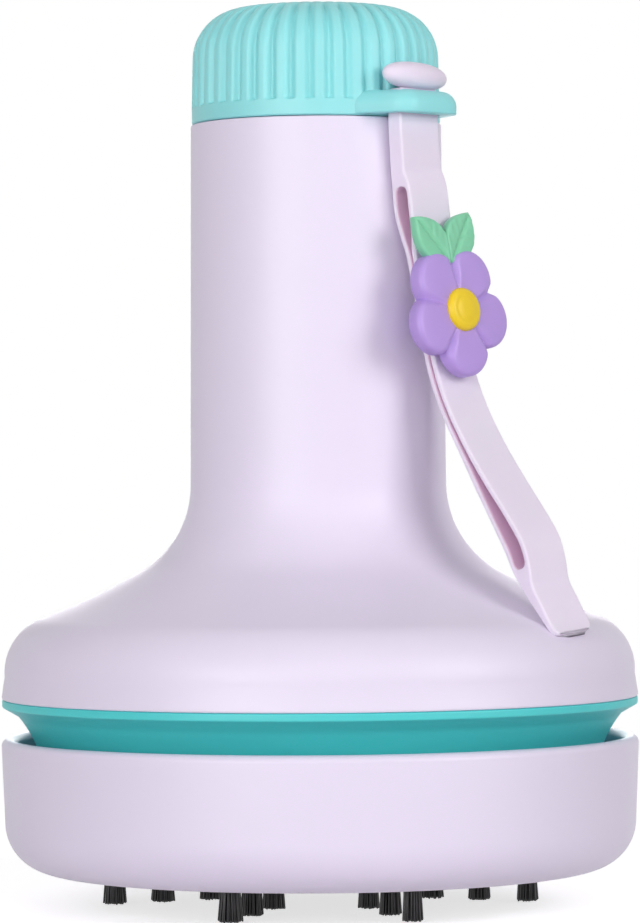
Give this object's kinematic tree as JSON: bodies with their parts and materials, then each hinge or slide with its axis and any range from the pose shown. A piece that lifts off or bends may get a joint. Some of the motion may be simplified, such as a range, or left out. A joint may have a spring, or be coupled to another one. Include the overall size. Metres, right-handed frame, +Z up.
{
  "type": "desktop mini vacuum cleaner",
  "caption": "Bell-shaped handheld desk vacuum with a ribbed twist cap, silicone hand strap with flower charm, flared air ring and pull-off dish head with bristle tufts.",
  "frame": {"origin": "centre of the plane through the bristle tips, on the body's axis", "axes": "+Z up along the body's axis, +X towards the strap's tab"},
  "size_m": [0.086, 0.086, 0.1213],
  "materials": {
    "lavender_plastic": "matte moulded ABS",
    "mint_plastic": "satin moulded ABS",
    "teal_plastic": "satin moulded ABS",
    "silicone": "matte moulded silicone",
    "purple_rubber": "matte soft PVC",
    "yellow_rubber": "matte soft PVC",
    "green_rubber": "matte soft PVC",
    "nylon_bristle": "extruded nylon filament",
    "black_plastic": "moulded ABS",
    "grey_plastic": "moulded ABS",
    "steel": "zinc plated",
    "shaft_steel": "ground",
    "magnet": "sintered ferrite",
    "bronze": "sintered bronze",
    "cell_wrap": "shrink film",
    "nickel": "plated strip",
    "board": "solder mask",
    "lamp": "clear light pipe",
    "seal_rubber": "nitrile",
    "filter_paper": "pleated filter paper"
  },
  "bodies": {
    "main": {"upper_shell": "lavender_plastic", "skirt_ring": "teal_plastic", "fan_housing": "grey_plastic", "motor_bracket": "grey_plastic", "motor_can": "steel", "motor_end_cap": "black_plastic", "motor_magnets": "magnet", "motor_bushes": "bronze", "battery_cell": "cell_wrap", "cell_contacts": "nickel", "inner_frame": "grey_plastic", "charge_board": "board", "usb_socket": "steel", "charge_lamp": "lamp", "rotary_switch": "black_plastic", "neck_plate": "grey_plastic", "neck_screws": "steel", "shell_screws": "steel", "motor_screws": "steel"},
    "rotor": {"rotor_shaft": "shaft_steel", "impeller": "grey_plastic", "armature": "steel"},
    "cap": {"ribbed_cap": "mint_plastic", "switch_shaft": "black_plastic", "shaft_clip": "steel", "strap_knob": "silicone"},
    "strap": {"strap_loop": "silicone"},
    "charm": {"charm_slider": "purple_rubber", "charm_flower": "purple_rubber", "charm_button": "yellow_rubber", "charm_leaves": "green_rubber"},
    "head": {"base_dish": "lavender_plastic", "dust_cup": "lavender_plastic", "cup_o_ring": "seal_rubber", "filter_frame": "black_plastic", "filter_media": "filter_paper", "brush_plate": "lavender_plastic", "plate_screws": "steel", "bristle_tufts": "nylon_bristle"}
  },
  "joints": [
    {"name": "cap_twist", "type": "hinge", "parent": "main", "child": "cap", "pos_m": [0, 0, 0.1054], "axis": [0, 0, 1], "range_deg": [0, 60]},
    {"name": "strap_swing", "type": "hinge", "parent": "cap", "child": "strap", "pos_m": [0.0186, -0.00037, 0.1039], "axis": [0, -0.9956, -0.0941], "range_deg": [0, 75]},
    {"name": "charm_slide", "type": "slide", "parent": "strap", "child": "charm", "axis": [-0.1509, -0.093, 0.9842], "range_m": [-0.0025, 0.003]},
    {"name": "head_pull", "type": "slide", "parent": "main", "child": "head", "axis": [0, 0, -1], "range_m": [0, 0.03]},
    {"name": "fan_spin", "type": "hinge", "parent": "main", "child": "rotor", "pos_m": [0, 0, 0.03], "axis": [0, 0, 1], "continuous": true}
  ]
}
